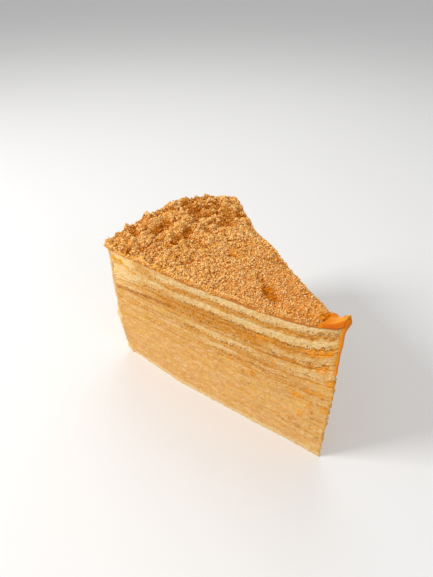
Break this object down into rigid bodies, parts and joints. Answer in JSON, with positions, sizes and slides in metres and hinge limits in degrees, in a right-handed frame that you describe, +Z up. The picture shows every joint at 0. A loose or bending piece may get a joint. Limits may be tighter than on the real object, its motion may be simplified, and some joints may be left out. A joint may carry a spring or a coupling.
{
  "type": "medovik honey layer cake slice",
  "caption": "Tall wedge slice of honey cake: soft biscuit and cream layers, a honey glaze and a crumb topping; rests on its flat base.",
  "frame": {"origin": "on the base plane, under the middle of the wedge's plan (the centroid of the base sector)", "axes": "+X along the wedge's centre line towards the thin end, +Z up; the cut faces look to -Y and +Y and the curved outer wall is at -X"},
  "size_m": [0.1224, 0.0787, 0.0827],
  "materials": {
    "biscuit": "soft porous honey biscuit, matte",
    "cream": "honey-soaked cream, faint sheen",
    "glaze": "amber honey glaze, glossy",
    "crumb": "dry golden crumbs, rough",
    "coat": "pale cream, smoothed with a knife"
  },
  "bodies": {
    "root": {"biscuit_01": "biscuit", "biscuit_02": "biscuit", "biscuit_03": "biscuit", "biscuit_04": "biscuit", "biscuit_05": "biscuit", "biscuit_06": "biscuit", "biscuit_07": "biscuit", "biscuit_08": "biscuit", "biscuit_09": "biscuit", "biscuit_10": "biscuit", "biscuit_11": "biscuit", "biscuit_12": "biscuit", "cream_01": "cream", "cream_02": "cream", "cream_03": "cream", "cream_04": "cream", "cream_05": "cream", "cream_06": "cream", "cream_07": "cream", "cream_08": "cream", "cream_09": "cream", "cream_10": "cream", "cream_11": "cream", "honey_glaze": "glaze", "crumb_topping": "crumb", "rim_coat": "coat"}
  },
  "joints": []
}
